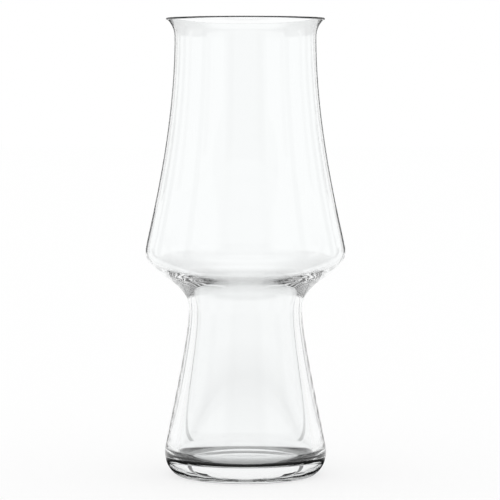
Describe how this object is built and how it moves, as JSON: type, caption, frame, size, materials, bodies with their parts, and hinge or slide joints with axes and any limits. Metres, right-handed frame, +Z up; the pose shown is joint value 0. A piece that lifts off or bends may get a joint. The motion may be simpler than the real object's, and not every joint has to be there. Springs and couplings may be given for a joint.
{
  "type": "tulip beer glass",
  "caption": "Clear tulip beer glass: flared lip, slender neck, full belly and open throat over a thick hollow conical stem and a heavy rounded base.",
  "frame": {"origin": "centre of the ring that the glass stands on, at table level", "axes": "+Z up along the axis of revolution, from the base to the rim; X and Y are any two directions across it"},
  "size_m": [0.08, 0.08, 0.1828],
  "materials": {
    "clear_glass": "clear colourless soda-lime glass, fire-polished"
  },
  "bodies": {
    "root": {"bowl": "clear_glass", "stem": "clear_glass", "base": "clear_glass"}
  },
  "joints": []
}
